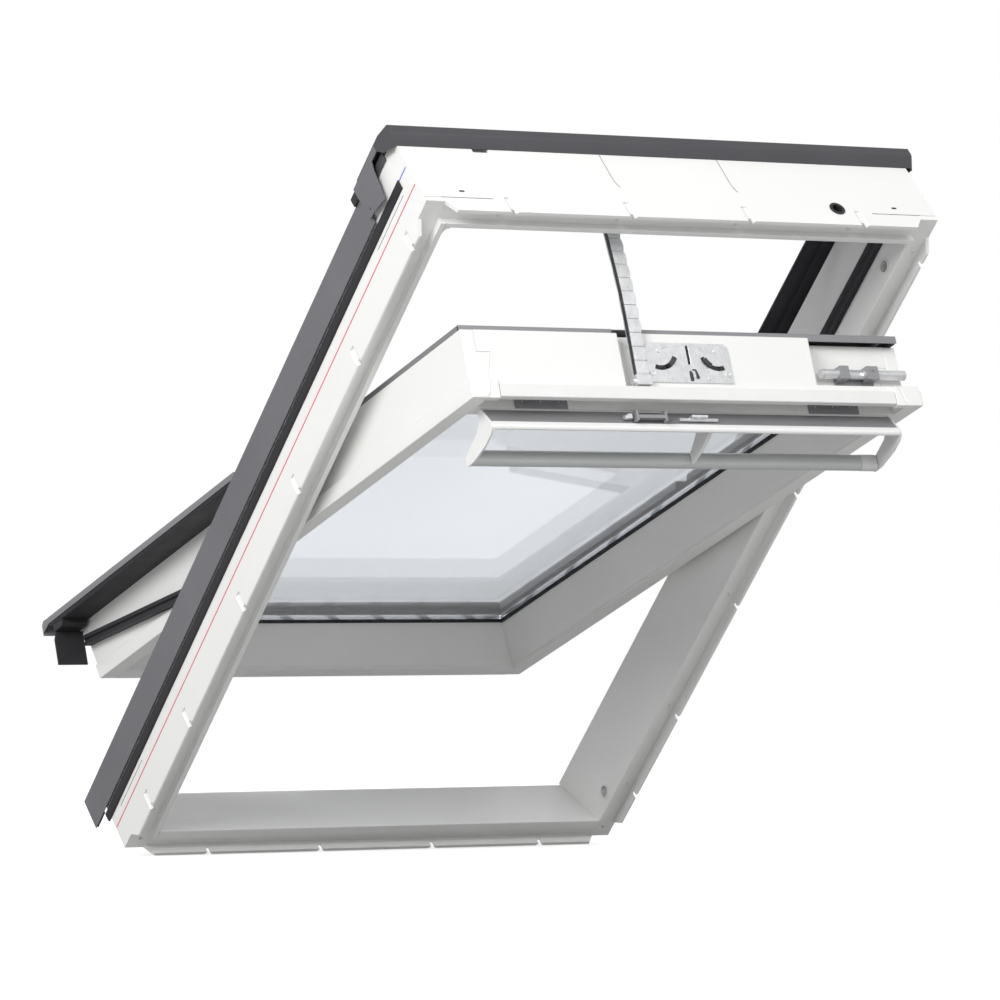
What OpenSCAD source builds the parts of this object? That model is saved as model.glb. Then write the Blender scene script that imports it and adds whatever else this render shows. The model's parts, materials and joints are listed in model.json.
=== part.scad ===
// Centre-pivot roof window: a moulded white frame and sash, grey metal covers outside, a double
// pane, a chain operator in the frame's head and a control bar on the sash's top rail.
//
// Frame places are [x, v, n]: x across, v up the slope from the frame's bottom edge, n outward
// from the frame's base. Sash places are [x, u, w]: u up from the sash's bottom inner edge and
// w outward from its inner face. Both are in millimetres, and x = 0 is the middle.

/* [Frame] */
// Width over the frame
frame_w = 780; // [700:1:1140]
// Height over the frame, up the slope
frame_h = 1178; // [980:1:1420]
// Depth of the side members
frame_depth = 105; // [95:1:125]
// Thickness of the side members
jamb_t = 37; // [34:0.5:48]
// Thickness of the head at its lip
head_t = 36; // [33:0.5:48]
// Height of the thin rim round the lining groove
rim_h = 16; // [8:0.5:20]
// Thickness of that rim
rim_t = 5; // [4:0.25:6]
// Height of the lip beside the opening
lip_h = 10; // [5:0.5:14]
// Width of that lip
lip_w = 8.5; // [6:0.25:10]
// Pitch of the roof
roof_pitch = 45; // [15:1:75]

/* [Sash] */
// Opening angle of the window as drawn
vent_angle = 26; // [12:1:34]
// Gap beside the sash
side_gap = 10.4; // [10:0.1:14]
// From the sash's top edge to the frame's
top_gap = 58.5; // [54:0.5:80]
// From the frame's bottom edge to the sash's
bottom_gap = 28.5; // [28:0.5:40]
// Depth of the sash members
sash_depth = 95; // [92:0.5:100]
// Width of the stiles on the room side
stile_w = 24.6; // [20:0.2:34]
// Height of the rails on the room side
rail_w = 31; // [28:0.5:40]
// How far the slanted inner faces reach in
splay = 15; // [8:0.5:22]
// Thickness of each glass sheet
glass_t = 4; // [3:0.5:4]
// Gap between the glass sheets
glass_gap = 14; // [10:0.5:14]

/* [Pivot, bolt and chain] */
// Radius of the pivot pins
pin_r = 7; // [5:0.25:9]
// Running clearance on pins, bolt and claws
run_clear = 0.05; // [0.02:0.01:0.1]
// Radius of the barrel bolt
bolt_rad = 6.5; // [5:0.25:7]
// Radius of the holes in the bolt bushes
bush_bore_r = 8; // [7.5:0.25:9]
// Width of the push chain
chain_w = 22; // [14:1:24]
// Thickness of the push chain
chain_t = 9; // [6:0.5:10]
// Middle of the chain, from the window's middle
chain_x = -84; // [-110:1:-84]

/* [Covers] */
// Thickness of the metal covers
sheet_t = 1.2; // [0.8:0.1:1.6]
// Half width over the hood beyond the frame's side
hood_over = 10; // [9:0.5:16]
// How far the side covers hang below the frame
cover_drop = 37; // [20:1:45]

/* [Hidden] */
$fn = 48;

white = "whitesmoke";
dark_grey = "dimgray";
mid_grey = "darkgray";
black = [0.12, 0.12, 0.14];
steel = "lightsteelblue";

// Frame
half_w = frame_w / 2;
inner_x = half_w - jamb_t;
head_v = frame_h - head_t;
head_depth = frame_depth + 5;
upper_depth = frame_depth + 14;
lip_out_x = inner_x + lip_w;
groove_head_v = head_v + lip_w - 1;
sill_lip_v = 42;
groove_sill_v = 25.5;
corner_flat = 27;
rim_end = 362 - 353 + inner_x;
corner_r = 8;
head_step = 3;
head_step_n = 20;

// Places of the lining clips: up the sides, and across the head and sill
clip_v = [98, 257, 476, 690, 916, frame_h - 66];
clip_x = [-267, -90, 90, 267];
clip_r = 7;
clip_sink = 3;
screw_r = 2.8;

// Closed sash, and the pivot that it turns on
sash_x = inner_x - side_gap;
sash_h = frame_h - top_gap - bottom_gap;
sash_n = 28.4;
pivot_v = frame_h / 2 - 5;
pivot_n = frame_depth + 13;
pivot_u = pivot_v - bottom_gap;
pivot_w = pivot_n - sash_n;

// Sash section
stile_in_x = sash_x - stile_w;
reveal_w = 65;
reveal_x = stile_in_x - splay - 3;
rebate_x = stile_in_x + 2;
stile_step = 3.6;
stile_step_w = 22;
reveal_u = rail_w + splay - 1;
rebate_u = 26;
top_in_u = sash_h - 60;
end_u = sash_h - 7.5;
top_block_x = sash_x - 41;
pane_x = rebate_x - 2;
pane_u = rebate_u + 2;
pane_top_u = sash_h - 57;
gasket_t = 4;
pane_n = reveal_w + gasket_t;

// Cover planes on the sash
cover_w = pane_n + 2 * glass_t + glass_gap + 14;
cover_x = sash_x - 8.6;
flange_x = half_w - 5;
flange_end_u = pivot_u - 15.5;
cover_top_u = end_u - 11.5;
sill_reach = 66.5;
split_u = 36;

// Lock plate, claws and bolt
lock_l = -70;
lock_r = 56;
lock_w0 = 28;
lock_w1 = 82.5;
lock_t = 1.8;
claw_pivots = [[-50, 72], [37, 72]];
claw_r0 = 20.8;
claw_r1 = 27.2;
rivet_r = 3;
small_rivets = [[-37, 35], [21, 35]];
ring_screws = [[-65, 40.6], [50, 40.7]];
bolt_u = end_u - 15.5;
bolt_w = 51;
bolt_x0 = 206;
bolt_recess_x = 186;
bolt_recess_u = end_u - 25.5;
bolt_orbit = norm([bolt_u - pivot_u, bolt_w - pivot_w]);
bush_n = 10;
bush_dv = sqrt(pow(bolt_orbit, 2) - pow(pivot_n - bush_n, 2));
bush_depth = 26;

// Chain: its end lies in the top rail's recess
recess_x0 = chain_x - chain_w / 2 - 12;
recess_x1 = chain_x + chain_w / 2 + 2;
recess_u = end_u - 13;
link_u = end_u + 3.5;
link_w = 30;
port_n = 92;

// Covers on the frame
skirt_x = half_w + 3.5;
skirt_n0 = 72;
skirt_n1 = 123;
skirt_top_v = frame_h - 100;
plate_x = sash_x - 22.6;
plate_n = frame_depth + 30;
upper_v0 = pivot_v + 124;
ramp_v0 = pivot_v + 20;
ramp_v1 = pivot_v + 67;
hood_x = half_w + hood_over;
hood_v = frame_h + 12.5;
hood_n = frame_depth + 25;
hood_joint_v = frame_h - 28;
hood_low_v = head_v - 52;

// Control bar, on its hinge line at the top rail's inner edge
hinge_u = sash_h - 36;
hinge_w = -2;
flap_x = 312;
nose_x = 309;
grip_u = sash_h - 84;
grip_w = -49;
grip_x = 300;

// ---- Shapes laid out along the frame's own directions ----

module block(x0, x1, v0, v1, n0, n1)
    translate([x0, v0, -n1]) cube([x1 - x0, v1 - v0, n1 - n0]);

// An outline of [v, n] points, drawn out across the window
module bar_x(x0, x1, outline)
    translate([x0, 0, 0]) rotate([90, 0, 90]) linear_extrude(x1 - x0)
        polygon([for (p = outline) [p[0], -p[1]]]);

// An outline of [x, n] points, drawn out up the slope
module bar_v(v0, v1, outline)
    translate([0, v1, 0]) rotate([90, 0, 0]) linear_extrude(v1 - v0)
        polygon([for (p = outline) [p[0], -p[1]]]);

// An outline of [x, v] points, drawn out along the depth
module bar_n(n0, n1, outline)
    translate([0, 0, -n1]) linear_extrude(n1 - n0) polygon(outline);

module rod_x(x0, x1, v, n, r)
    translate([x0, v, -n]) rotate([0, 90, 0]) cylinder(h = x1 - x0, r = r);

module rod_n(x, v, n0, n1, r)
    translate([x, v, -n1]) cylinder(h = n1 - n0, r = r);

module rod_v(x, n, v0, v1, r)
    translate([x, v1, -n]) rotate([90, 0, 0]) cylinder(h = v1 - v0, r = r);

function arc(c, r, a0, a1, steps = 6) =
    [for (i = [0:steps]) let (a = a0 + (a1 - a0) * i / steps) c + r * [cos(a), sin(a)]];

// The same outline made into a thin wall: the open line, then the line set in by t
function wall(line, inset) = concat(line, [for (i = [len(line) - 1:-1:0]) inset[i]]);

module to_left() mirror([1, 0, 0]) children();

module both_sides() {
    children();
    to_left() children();
}

// Sets the frame on the roof's pitch, with the middle of its bottom face as the origin
module on_roof()
    translate([0, -sin(roof_pitch) * 50, -cos(roof_pitch) * 50])
        rotate([180 - roof_pitch, 0, 0]) children();

// Sets the sash in the frame, closed and then opened about its pivot
module on_sash()
    on_roof() translate([0, pivot_v, -pivot_n]) rotate([vent_angle, 0, 0])
        translate([0, -pivot_u, pivot_w]) children();

// ---- Frame ----

// The rim across the head or the sill, which runs on over the side members to its ends
module cross_rim(v0, v1)
    intersection() {
        block(-half_w, half_w, v0, v1, -rim_h, 0);
        bar_v(v0, v1, [[-rim_end, 0], [12 - rim_end, -rim_h], [rim_end - 12, -rim_h], [rim_end, 0]]);
    }

// The rim along one side member, right side
module jamb_rim()
    intersection() {
        bar_v(0, frame_h, concat([[half_w - rim_t, 0], [half_w - rim_t, 1 - rim_h],
            [half_w - rim_t + 1, -rim_h]], arc([half_w - 2, 2 - rim_h], 2, -90, 0, 4), [[half_w, 0]]));
        bar_x(half_w - rim_t, half_w, [[corner_flat, 0], [corner_flat + 15, -rim_h],
            [frame_h - 46, -rim_h], [frame_h - 31, 0]]);
    }

module jamb_lip()
    bar_v(groove_sill_v, groove_head_v, concat([[inner_x, 0]],
        arc([inner_x + 2, 2 - lip_h], 2, 180, 270, 4), [[lip_out_x, -lip_h], [lip_out_x, 0]]));

// One scallop with its notch, where a lining clip hooks over the rim of a side member
module jamb_clip_cut(v) {
    rod_n(half_w + clip_r - clip_sink, v, -rim_h - 1, 12, clip_r);
    block(half_w - rim_t - 1, half_w + 1, v - 3, v + 3, -rim_h - 1, -rim_h / 2);
}

module jamb() {
    intersection() {
        union() {
            block(inner_x, half_w, 0, frame_h, 0, frame_depth);
            bar_x(inner_x, half_w, [[ramp_v0, 0], [frame_h, 0], [frame_h, upper_depth],
                [ramp_v1, upper_depth], [ramp_v0, frame_depth]]);
            jamb_lip();
            jamb_rim();
            cross_rim(0, rim_t);
            cross_rim(frame_h - rim_t, frame_h);
        }
        block(inner_x, half_w, 0, frame_h, -rim_h, upper_depth);
    }
}

module jamb_cut() {
    for (v = clip_v) jamb_clip_cut(v);
    // Fine slots for the setting-out gauge
    for (v = [[31, 123], [frame_h - 127, frame_h - 34]])
        block(half_w - 1.5, half_w + 1, v[0], v[1], 47.9, 49.1);
    block(lip_out_x + 22, half_w + 1, frame_h - 1.5, frame_h + 1, 7.4, 8.6);
    block(inner_x - 1, lip_out_x + 22.1, frame_h - 1.5, frame_h + 1, 7.4, 8.6);
    rod_n(half_w - 18, 18, -1, 12, 2.5);
}

module frame_jamb_left() color(white) on_roof() to_left() difference() {
    jamb();
    jamb_cut();
}

module frame_jamb_right() color(white) on_roof() difference() {
    jamb();
    jamb_cut();
    for (v = [pivot_v - bush_dv, pivot_v + bush_dv])
        rod_x(inner_x - 1, inner_x + bush_depth, v, bush_n, bush_bore_r + 1.5);
}

module frame_head() color(white) on_roof() difference() {
    union() {
        intersection() {
            union() {
                bar_x(-inner_x, inner_x, [[head_v, -lip_h + 2], [head_v + 0.6, -lip_h + 0.6],
                    [head_v + 2, -lip_h], [groove_head_v, -lip_h], [groove_head_v, 0], [frame_h, 0],
                    [frame_h, head_depth], [head_v + head_step, head_depth],
                    [head_v + head_step, head_step_n], [head_v, head_step_n]]);
                cross_rim(frame_h - rim_t, frame_h);
            }
            block(-inner_x, inner_x, head_v, frame_h, -rim_h, head_depth);
        }
        // Rounded upper corners of the opening
        both_sides() difference() {
            block(inner_x - corner_r, inner_x, head_v - corner_r, head_v, -lip_h, head_step_n);
            rod_n(inner_x - corner_r, head_v - corner_r, -lip_h - 1, head_step_n + 1, corner_r);
        }
    }
    for (x = clip_x) {
        rod_n(x, frame_h + clip_r - clip_sink, -rim_h - 1, 12, clip_r);
        block(x - 3, x + 3, frame_h - rim_t - 1, frame_h + 1, -rim_h - 1, -rim_h / 2);
    }
    both_sides() block(289, inner_x + 1, frame_h - 1.5, frame_h + 1, 7.4, 8.6);
    both_sides() block(326, 334, frame_h - 2, frame_h + 1, 19, 22.5);
    // Cable hole, the recess under the hood and the pocket for the chain operator
    rod_v(236.5, 14.7, head_v - 1, frame_h + 1, 9);
    block(-281, -257, frame_h - 6, frame_h + 1, head_depth - 12, head_depth + 1);
    block(operator_x0 - 2, operator_x1 + 2, head_v, operator_v1 + 2, operator_n0 - 2, operator_n1 + 2);
}

module frame_sill() color(white) on_roof() difference() {
    intersection() {
        union() {
            bar_x(-inner_x, inner_x, [[0, 0], [groove_sill_v, 0], [groove_sill_v, -lip_h],
                [sill_lip_v - 2, -lip_h], [sill_lip_v - 0.6, 0.6 - lip_h], [sill_lip_v, 2 - lip_h],
                [18.5, 52.5], [4.5, frame_depth - 12], [1, frame_depth - 5], [0, frame_depth - 5]]);
            cross_rim(0, rim_t);
        }
        block(-inner_x, inner_x, 0, sill_lip_v, -rim_h, frame_depth);
    }
    for (x = clip_x) {
        rod_n(x, clip_sink - clip_r, -rim_h - 1, 12, clip_r);
        block(x - 3, x + 3, -1, rim_t + 1, -rim_h - 1, -rim_h / 2);
    }
}

module screw(x, v, n, r = screw_r) difference() {
    union() {
        rod_n(x, v, n - 1.6, n, r);
        rod_n(x, v, n - 2.1, n - 1.6, r * 0.7);
    }
    rod_n(x, v, n - 2.2, n - 0.8, r * 0.4);
}

module lining_screws() color(steel) on_roof() {
    both_sides() for (v = clip_v) screw(lip_out_x + 15, v + 11, 0);
    for (x = clip_x) {
        screw(x - 10, groove_head_v + 8, 0);
        screw(x - 10, groove_sill_v - 8, 0);
    }
}

module cable_grommet() color(dark_grey) on_roof() difference() {
    union() {
        rod_v(236.5, 14.7, head_v, frame_h + 0.5, 9);
        rod_v(236.5, 14.7, frame_h, frame_h + 1.5, 11);
    }
    rod_v(236.5, 14.7, head_v - 1, frame_h + 2, 7);
}

module bolt_bushes() color("gainsboro") on_roof()
    for (v = [pivot_v - bush_dv, pivot_v + bush_dv]) difference() {
        union() {
            rod_x(inner_x - 1.2, inner_x, v, bush_n, bush_bore_r + 3);
            rod_x(inner_x, inner_x + bush_depth, v, bush_n, bush_bore_r + 1.5);
        }
        rod_x(inner_x - 2, inner_x + bush_depth + 1, v, bush_n, bush_bore_r);
    }

// Ribbed rubber strips on the inner faces of the side members, above the pivot
module jamb_gaskets() color(black) on_roof() both_sides()
    bar_v(ramp_v1 + 10, head_v - 1, [[inner_x, 33], [inner_x - 2.5, 33], [inner_x - 4.5, 37],
        [inner_x - 2.5, 41], [inner_x - 2.5, 45], [inner_x - 4.5, 49], [inner_x - 2.5, 53],
        [inner_x - 2.5, 58], [inner_x, 58]]);

// Metal skirt beside the side member, hooked over its outer edge below the pivot
module jamb_cover() {
    bar_v(-cover_drop, skirt_top_v, [[skirt_x, skirt_n0], [skirt_x + 1.5, skirt_n0],
        [skirt_x + 1.5, skirt_n1], [skirt_x, skirt_n1]]);
    bar_v(30, ramp_v0 - 4, [[half_w - 12, frame_depth], [skirt_x, frame_depth],
        [skirt_x, frame_depth + 1.5], [half_w - 12, frame_depth + 1.5]]);
}

module jamb_cover_left() color(mid_grey) on_roof() to_left() jamb_cover();
module jamb_cover_right() color(mid_grey) on_roof() jamb_cover();

module cover_strips() color(black) on_roof() both_sides()
    bar_v(-6, hood_joint_v, [[half_w, 55], [half_w + 2, 55.6], [half_w + 3, 58],
        [half_w + 3, 68], [half_w + 2, 70.4], [half_w, 71]]);

module cover_ends() color(black) on_roof() both_sides()
    bar_x(half_w + 0.5, skirt_x, [[1 - cover_drop, skirt_n0 + 1], [-7, skirt_n0 + 1],
        [-7, skirt_n1 - 6], [8 - cover_drop, skirt_n1 - 1], [1 - cover_drop, skirt_n1 - 3]]);

// Metal cover over the upper half of the side member, reaching in over the closed sash
module upper_cover()
    bar_v(upper_v0, hood_joint_v, [[skirt_x - 0.2, upper_depth - 8],
        [skirt_x - 0.2, skirt_n1 + 1.2], [half_w - 18, plate_n + 1.5], [plate_x, plate_n + 1.5],
        [plate_x, plate_n], [half_w - 18.8, plate_n], [skirt_x - 1.7, skirt_n1 + 0.4],
        [skirt_x - 1.7, upper_depth - 8]]);

module upper_cover_left() color(dark_grey) on_roof() to_left() upper_cover();
module upper_cover_right() color(dark_grey) on_roof() upper_cover();

module upper_seals() color(black) on_roof() both_sides()
    bar_v(upper_v0 + 4, hood_joint_v - 2, [[plate_x + 1, plate_n], [plate_x + 1, plate_n - 1],
        [plate_x + 5, plate_n - 1.6], [plate_x + 12, plate_n - 0.8], [plate_x + 18, plate_n - 1.6],
        [plate_x + 26, plate_n - 1], [plate_x + 28, plate_n]]);

// Metal hood over the head: a folded front with turned ends, and a plate over the sash's top
module hood() color(dark_grey) on_roof() {
    bar_x(-hood_x, hood_x, wall(
        [[frame_h + 0.2, head_depth - 6], [hood_v - 1, head_depth + 6], [hood_v, head_depth + 9],
            [hood_v, hood_n], [hood_v - 25.5, plate_n + 3], [hood_low_v, plate_n + 3.4]],
        [[frame_h + 0.2, head_depth - 4.3], [hood_v - 2.3, head_depth + 6.6],
            [hood_v - 1.3, head_depth + 9.2], [hood_v - 1.3, hood_n - 0.9],
            [hood_v - 25.8, plate_n + 1.7], [hood_low_v, plate_n + 2]]));
    both_sides() bar_x(hood_x - 1.3, hood_x, [[hood_joint_v, hood_n - 4],
        [hood_v - 30, head_depth], [hood_v - 14, head_depth - 8], [hood_v - 1, head_depth + 6],
        [hood_v, head_depth + 9], [hood_v, hood_n], [hood_v - 25.5, plate_n + 3],
        [hood_joint_v, plate_n + 3]]);
}

// Side strip and bracket plate that carry the hood's end
module hood_bracket() {
    difference() {
        bar_x(hood_x - 1.3, hood_x, [[hood_joint_v - 0.4, hood_n - 4],
            [hood_joint_v - 0.4, plate_n + 1.7], [frame_h - 102, plate_n + 1.7],
            [frame_h - 102, skirt_n1 + 6], [frame_h - 100, skirt_n0 + 5],
            [frame_h - 85, skirt_n0 + 4], [frame_h - 58, skirt_n0 - 4.5],
            [frame_h - 50, head_depth + 4], [frame_h - 46, hood_n - 4]]);
        rod_x(hood_x - 2, hood_x + 1, frame_h - 90, skirt_n0 + 14, 1.6);
    }
    rod_x(skirt_x + 1.5, hood_x - 1.3, frame_h - 104 + 12, skirt_n0 + 30, 5);
    rod_x(half_w, hood_x - 1.3, frame_h - 66, skirt_n0 + 26, 6);
}

module hood_bracket_left() color(mid_grey) on_roof() to_left() hood_bracket();
module hood_bracket_right() color(mid_grey) on_roof() hood_bracket();

module bracket_caps() color(black) on_roof() both_sides() {
    bar_x(skirt_x + 1.5, hood_x - 1.3, [[frame_h - 118, skirt_n1 - 2], [frame_h - 118, plate_n],
        [frame_h - 103, plate_n], [frame_h - 103, skirt_n1 - 2]]);
}

// Round-headed plate that carries the sash's pin, screwed to the side member's inner face
module frame_pivot() difference() {
    union() {
        rod_x(inner_x - 6, inner_x, pivot_v, pivot_n, 13);
        block(inner_x - 6, inner_x, pivot_v - 12, pivot_v + 12, frame_depth - 45, pivot_n);
    }
    rod_x(inner_x - 7, inner_x + 1, pivot_v, pivot_n, pin_r + run_clear);
    for (n = [frame_depth - 37, frame_depth - 17])
        rod_x(inner_x - 7, inner_x - 3, pivot_v, n, 3);
}

module frame_pivot_left() color(steel) on_roof() to_left() frame_pivot();
module frame_pivot_right() color(steel) on_roof() frame_pivot();

// Chain operator in the head's pocket, with the slot that its chain leaves by
operator_x0 = chain_x - 176;
operator_x1 = chain_x + 124;
operator_v0 = head_v + head_step + 0.5;
operator_v1 = frame_h - 7;
operator_n0 = 46;
operator_n1 = head_depth - 5;

module operator_housing() color(white) on_roof() difference() {
    block(operator_x0, operator_x1, operator_v0, operator_v1 + 2, operator_n0, operator_n1);
    block(recess_x0 + 9, recess_x1 + 2, operator_v0 - 1, operator_v0 + 16, port_n - 22, operator_n1 - 3);
}

// The push chain's middle line, from the operator's slot to the sash, as [v, n] points
function in_frame(u, w) = let (a = vent_angle, du = u - pivot_u, dw = w - pivot_w)
    [pivot_v + du * cos(a) + dw * sin(a), pivot_n - du * sin(a) + dw * cos(a)];

link_end = in_frame(link_u, link_w + 6);
link_out = in_frame(link_u + 1, link_w + 60);
link_far = in_frame(link_u + 1, link_w + 110);
port = [head_v + 6, port_n + 6];
chain_steps = 14;

function bezier(a, b, c, d, t) = pow(1 - t, 3) * a + 3 * pow(1 - t, 2) * t * b
    + 3 * (1 - t) * t * t * c + pow(t, 3) * d;
function chain_line() = concat([link_end, link_out],
    [for (i = [0:chain_steps]) bezier(link_far, link_far + (link_far - link_out) * 0.7,
        port - [9, 26], port, i / chain_steps)]);
function beside(line, i, s) = let (a = line[max(i - 1, 0)], b = line[min(i + 1, len(line) - 1)],
    d = (b - a) / norm(b - a)) line[i] + s * [-d[1], d[0]];

module push_chain() color("silver") on_roof() let (line = chain_line(), last = len(line) - 1)
    bar_x(chain_x - chain_w / 2, chain_x + chain_w / 2, concat(
        [for (i = [0:last]) beside(line, i, chain_t / 2)],
        [for (i = [last:-1:0]) beside(line, i, -chain_t / 2)]));

// The chain's last link with its pin, which hooks behind the sash's edge strip
module chain_end() color("gray") on_sash() {
    block(chain_x - chain_w / 2, chain_x + chain_w / 2, link_u - 7, link_u + 5,
        link_w - 8, link_w + 5.7);
    rod_x(chain_x - chain_w / 2 - 4, chain_x + chain_w / 2 + 1, link_u - 1, link_w - 2, 3.5);
}

// Keeper on the head for the sash's claws: a plate with two headed posts
keeper_n = sash_n + (lock_w0 + lock_w1) / 2 + 4;
module lock_keeper() color(steel) on_roof() {
    difference() {
        block(lock_l, lock_r, head_v + head_step - 2.5, head_v + head_step, keeper_n - 9, keeper_n + 9);
        rod_v((lock_l + lock_r) / 2, keeper_n, head_v, head_v + head_step + 1, 3);
    }
    for (x = [-60, 46]) {
        rod_v(x, keeper_n, head_v - 17, head_v + head_step, 2);
        rod_v(x, keeper_n, head_v - 19.5, head_v - 17, 4);
    }
}

// ---- Sash ----

// Side view of the sash: its bottom end follows the slope of the sill and laps over it
sash_side = [[0, 0], [sash_h, 0], [sash_h, lock_w0 - 1], [end_u, lock_w0 - 1],
    [end_u, sash_depth], [sheet_t - sill_reach, sash_depth], [5 - sill_reach, 80], [-20, 77], [-19, 55]];

module stile() intersection() {
    bar_v(-sill_reach, sash_h, [[sash_x, 0], [stile_in_x, 0], [stile_in_x, 4],
        [stile_in_x - 2, 4], [reveal_x, reveal_w], [rebate_x, reveal_w], [rebate_x, sash_depth],
        [sash_x - stile_step, sash_depth], [sash_x - stile_step, stile_step_w],
        [sash_x, stile_step_w]]);
    bar_x(reveal_x - 1, sash_x + 1, sash_side);
}

// Space that the barrel bolt lies in, open to the sash's end and side
module bolt_recess() block(bolt_recess_x, sash_x + 1, bolt_recess_u, end_u + 1, lock_w0 + 1, sash_depth + 1);

module stile_left() color(white) on_sash() to_left() stile();
module stile_right() color(white) on_sash() difference() {
    stile();
    bolt_recess();
}

module rail_ends() both_sides() stile();

module top_rail() color(white) on_sash() difference() {
    union() {
        bar_x(-rebate_x, rebate_x, [[top_in_u, 0], [hinge_u + 1, 0], [hinge_u + 1, 25],
            [sash_h - 11, 25], [sash_h - 11, 2], [end_u, 2], [end_u, sash_depth],
            [pane_top_u + 2, sash_depth], [pane_top_u + 2, reveal_w],
            [top_in_u - splay, reveal_w], [top_in_u - 2, 4], [top_in_u, 4]]);
        // Solid ends beside the edge strip
        both_sides() block(top_block_x, stile_in_x, sash_h - 11, sash_h, 0, lock_w0 - 1);
    }
    rail_ends();
    bolt_recess();
    block(recess_x0, recess_x1, recess_u, sash_h + 1, 20, sash_depth + 1);
    block(lock_l + 4, lock_r - 4, end_u - 20, end_u + 1, lock_w0 + 4, lock_w1 - 2.5);
}

module bottom_rail() color(white) on_sash() difference() {
    bar_x(-rebate_x, rebate_x, [[0, 0], [rail_w, 0], [rail_w, 5], [rail_w - 1, 5],
        [reveal_u, reveal_w], [rebate_u, reveal_w], [rebate_u, sash_depth],
        [sheet_t - sill_reach, sash_depth], [5 - sill_reach, 80], [-20, 77], [-19, 55]]);
    rail_ends();
}

module edge_strip() color(white) on_sash()
    bar_x(1 - top_block_x, top_block_x - 1, concat([[end_u, 2]],
        arc([sash_h - 1.5, 3.5], 1.5, -90, 0, 4), arc([sash_h - 1.5, 18.5], 1.5, 0, 90, 4),
        [[end_u, 20]]));

module pane(w) on_sash() block(-pane_x, pane_x, pane_u, pane_top_u, w, w + glass_t);
module inner_pane() color("aliceblue", 0.5) pane(pane_n);
module outer_pane() color("aliceblue", 0.5) pane(pane_n + glass_t + glass_gap);

// A flat ring round the pane, from the edge of the glass to the edge of the sight opening
module pane_ring(w0, w1, edge, inset) difference() {
    block(-pane_x + edge, pane_x - edge, pane_u + edge, pane_top_u - edge, w0, w1);
    block(-reveal_x - inset, reveal_x + inset, reveal_u - inset, top_in_u - splay + inset,
        w0 - 1, w1 + 1);
}

module glazing_gasket() color(black) on_sash() pane_ring(reveal_w, pane_n, 0, -3);
module pane_spacer() color("silver") on_sash()
    pane_ring(pane_n + glass_t, pane_n + glass_t + glass_gap / 2, 6, -1);
module pane_seal() color(black) on_sash()
    pane_ring(pane_n + glass_t + glass_gap / 2, pane_n + glass_t + glass_gap, 6, -1);

// Grey metal cover over the top rail and the upper stiles: folded sheet with turned edges
cover_line = [[cover_x, sash_depth], [cover_x, cover_w], [reveal_x + 10, cover_w],
    [reveal_x + 6, pane_n + 2 * glass_t + glass_gap + 0.3]];
cover_back = [[cover_x - sheet_t, sash_depth], [cover_x - sheet_t, cover_w - sheet_t],
    [reveal_x + 10.9, cover_w - sheet_t], [reveal_x + 7.3, pane_n + 2 * glass_t + glass_gap + 0.3]];

module sash_top_cover() color(mid_grey) on_sash() difference() {
    union() {
        both_sides() bar_v(pivot_u + 15, cover_top_u - 4, wall(cover_line, cover_back));
        bar_x(-cover_x, cover_x, wall(
            [[cover_top_u, sash_depth], [cover_top_u, cover_w], [pane_top_u - 4, cover_w],
                [pane_top_u - 8, pane_n + 2 * glass_t + glass_gap + 0.3]],
            [[cover_top_u - sheet_t, sash_depth], [cover_top_u - sheet_t, cover_w - sheet_t],
                [pane_top_u - 3.1, cover_w - sheet_t],
                [pane_top_u - 6.7, pane_n + 2 * glass_t + glass_gap + 0.3]]));
    }
    block(recess_x0, recess_x1, recess_u, sash_h, sash_depth - 3, cover_w + 1);
    // The inner lips stop where the rail and the stiles stand up to the cover
    block(-sash_x, sash_x, pane_top_u + 2, sash_h, reveal_w, sash_depth);
    both_sides() block(rebate_x, sash_x, 0, sash_h, reveal_w, sash_depth);
}

// Grey metal cover over one lower stile, wide enough to lap over the frame's side member
module side_cover() {
    bar_v(split_u, flange_end_u, wall(
        [[flange_x, cover_w - 7.3], [flange_x, cover_w + 1.2], [reveal_x + 10, cover_w + 1.2],
            [reveal_x + 6, pane_n + 2 * glass_t + glass_gap + 0.3]],
        [[flange_x - sheet_t, cover_w - 7.3], [flange_x - sheet_t, cover_w],
            [reveal_x + 10.9, cover_w], [reveal_x + 7.3, pane_n + 2 * glass_t + glass_gap + 0.3]]));
}

module side_cover_left() color(mid_grey) on_sash() to_left() side_cover();
module side_cover_right() color(mid_grey) on_sash() side_cover();

module bottom_cover() color(mid_grey) on_sash() {
    bar_x(-flange_x, flange_x, wall(
        [[-sill_reach, 86], [-sill_reach, cover_w - 4], [5 - sill_reach, cover_w + 1.2],
            [split_u - 0.4, cover_w + 1.2]],
        [[sheet_t - sill_reach, 86], [sheet_t - sill_reach, cover_w - 4.4],
            [5.6 - sill_reach, cover_w], [split_u - 0.4, cover_w]]));
    both_sides() bar_x(flange_x - sheet_t, flange_x, [[-sill_reach, 90],
        [-sill_reach, cover_w - 4], [5 - sill_reach, cover_w + 1.2],
        [split_u - 0.4, cover_w + 1.2], [split_u - 0.4, cover_w - 7.3], [20 - sill_reach, cover_w - 7.3]]);
}

// Rubber pads under the wide covers, outside the stiles
module flange_pads() color(black) on_sash() both_sides()
    bar_v(-30, flange_end_u, [[sash_x - stile_step, sash_depth - 3], [flange_x - 2, sash_depth - 3],
        [flange_x - 1.2, sash_depth], [flange_x - 1.2, cover_w - 7.3],
        [sash_x - stile_step, cover_w - 7.3]]);

module corner_blocks() color(black) on_sash() both_sides()
    bar_x(sash_x + 1, flange_x - 2, [[-37, 82], [-37, sash_depth - 3], [-8, sash_depth - 3],
        [-8, 86], [-14, 82]]);

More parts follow.
